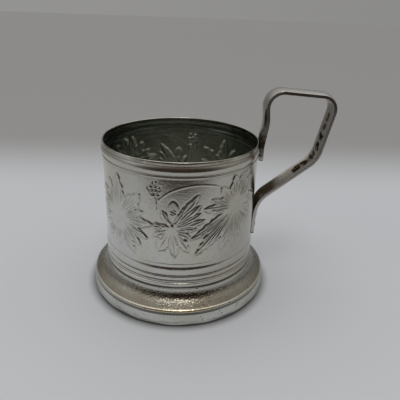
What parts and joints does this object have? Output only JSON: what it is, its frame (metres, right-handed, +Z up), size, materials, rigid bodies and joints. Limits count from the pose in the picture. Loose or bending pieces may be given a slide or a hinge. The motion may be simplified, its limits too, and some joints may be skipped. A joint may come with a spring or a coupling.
{
  "type": "podstakannik tea glass holder",
  "caption": "Metal holder for a drinking glass: a round embossed sleeve on a flared hollow foot, with a bent strip handle riveted to its side and standing above the rim.",
  "frame": {"origin": "centre of the foot's ring, on the surface that the holder stands on", "axes": "+Z up along the axis of the glass, +X towards the handle"},
  "size_m": [0.1092, 0.0836, 0.094],
  "materials": {
    "sleeve_nickel": "dull nickel plate on embossed sheet, worn to a yellowish metal at the rim",
    "foot_nickel": "polished nickel plate, gone a little brown, with small dark pits",
    "plate_nickel": "dull nickel plate, scratched by glasses",
    "handle_nickel": "nickel plate, corroded brown in the hollow inner face",
    "rivet_nickel": "nickel plate with tarnish round the heads"
  },
  "bodies": {
    "root": {"wall_sleeve": "sleeve_nickel", "foot_skirt": "foot_nickel", "bottom_plate": "plate_nickel", "handle_strip": "handle_nickel", "upper_rivet": "rivet_nickel", "lower_rivet": "rivet_nickel"}
  },
  "joints": []
}
